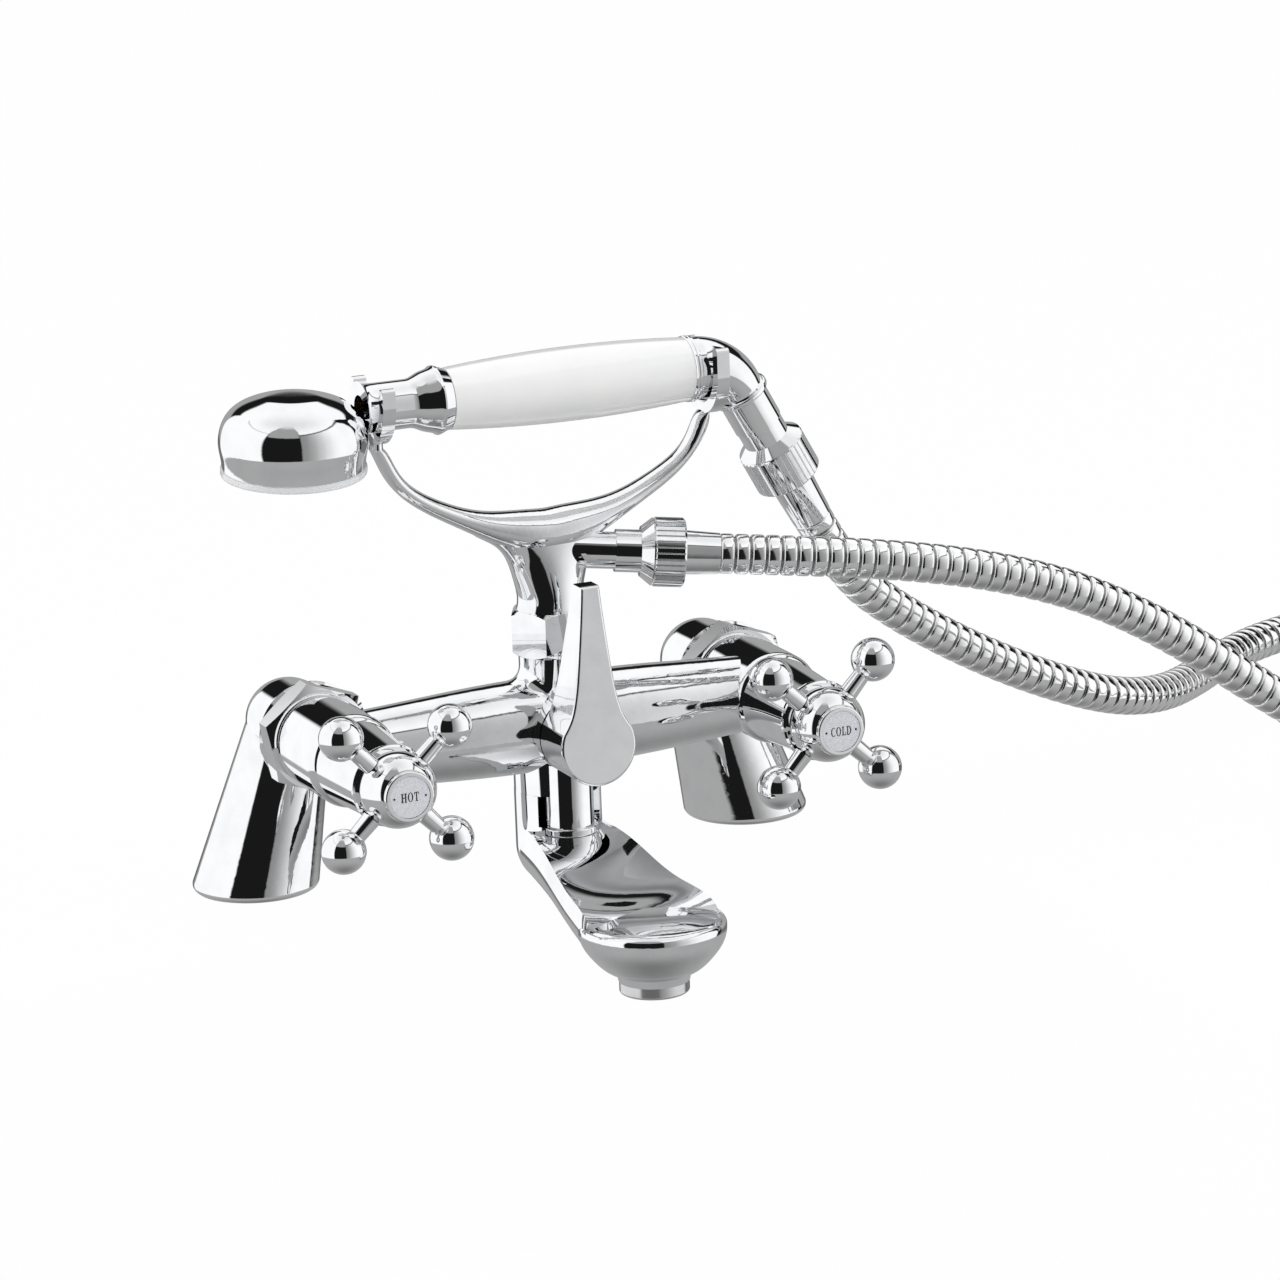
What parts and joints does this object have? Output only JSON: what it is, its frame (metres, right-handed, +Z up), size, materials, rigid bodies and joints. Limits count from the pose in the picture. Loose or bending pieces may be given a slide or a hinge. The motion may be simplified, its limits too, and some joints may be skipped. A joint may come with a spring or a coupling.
{
  "type": "bath shower mixer tap",
  "caption": "Deck-mounted bath filler with cross handles, a diverter lever, a trough spout and a cradle holding a telephone handset on a ribbed hose.",
  "frame": {"origin": "on the deck, midway between the two tap holes", "axes": "+X from the hot leg to the cold leg, -Y towards the bather, +Z up from the deck"},
  "size_m": [0.5894, 0.2044, 0.1955],
  "materials": {
    "chrome": "mirror-polished plating",
    "brass": "machined",
    "rubber": "matt",
    "index_white": "glossy",
    "washer_fibre": "matt",
    "stainless": "turned",
    "ceramic_white": "glazed",
    "aerator_plastic": "moulded",
    "hose_metal": "polished interlocked strip"
  },
  "bodies": {
    "mixer": {"hot_leg": "chrome", "hot_union_nut": "chrome", "hot_union_washer": "washer_fibre", "hot_cartridge": "brass", "hot_fixed_disc": "ceramic_white", "hot_shroud": "chrome", "cold_leg": "chrome", "cold_union_nut": "chrome", "cold_union_washer": "washer_fibre", "cold_cartridge": "brass", "cold_fixed_disc": "ceramic_white", "cold_shroud": "chrome", "base_seals": "rubber", "mixer_body": "chrome", "diverter_cartridge": "brass", "diverter_gland_nut": "brass", "outlet_spigot": "chrome", "spout": "chrome", "spout_dowel": "stainless", "aerator_housing": "chrome", "aerator_mesh": "aerator_plastic", "aerator_washer": "rubber", "collar_nut": "chrome", "stem_o_ring": "rubber", "cradle": "chrome", "outlet_nipple": "chrome", "outlet_hose_nut": "chrome", "outlet_ferrule": "chrome", "outlet_hose_washer": "washer_fibre", "hose_stem_side": "hose_metal", "hose_coil": "hose_metal"},
    "hot_handle": {"hot_spindle": "brass", "hot_handle_hub": "chrome", "hot_handle_arms": "chrome", "hot_handle_screw": "stainless", "hot_index_cup": "chrome", "hot_index_plate": "index_white"},
    "cold_handle": {"cold_spindle": "brass", "cold_handle_hub": "chrome", "cold_handle_arms": "chrome", "cold_handle_screw": "stainless", "cold_index_cup": "chrome", "cold_index_plate": "index_white"},
    "diverter": {"diverter_spool": "brass", "diverter_lever": "chrome", "lever_grub_screw": "stainless"},
    "handset": {"handset_head": "chrome", "spray_plate": "chrome", "head_gasket": "rubber", "grip_sleeve": "ceramic_white", "inner_tube": "brass", "grip_collar": "chrome", "handset_elbow": "chrome", "tail_nipple": "chrome", "tail_hose_nut": "chrome", "tail_ferrule": "chrome", "tail_hose_washer": "washer_fibre", "hose_handset_side": "hose_metal"}
  },
  "joints": [
    {"name": "hot_handle_turn", "type": "hinge", "parent": "mixer", "child": "hot_handle", "pos_m": [-0.075, -0.0968, 0.0552], "axis": [0, -1, 0], "range_deg": [0, 90]},
    {"name": "cold_handle_turn", "type": "hinge", "parent": "mixer", "child": "cold_handle", "pos_m": [0.075, -0.0968, 0.0552], "axis": [0, -1, 0], "range_deg": [-90, 0]},
    {"name": "diverter_turn", "type": "hinge", "parent": "mixer", "child": "diverter", "pos_m": [0, -0.076, 0.0552], "axis": [0, 1, 0], "range_deg": [0, 90]},
    {"name": "handset_lift", "type": "slide", "parent": "mixer", "child": "handset", "axis": [0, 0, 1], "range_m": [0, 0.035], "deforming": ["hose_handset_side"]}
  ]
}
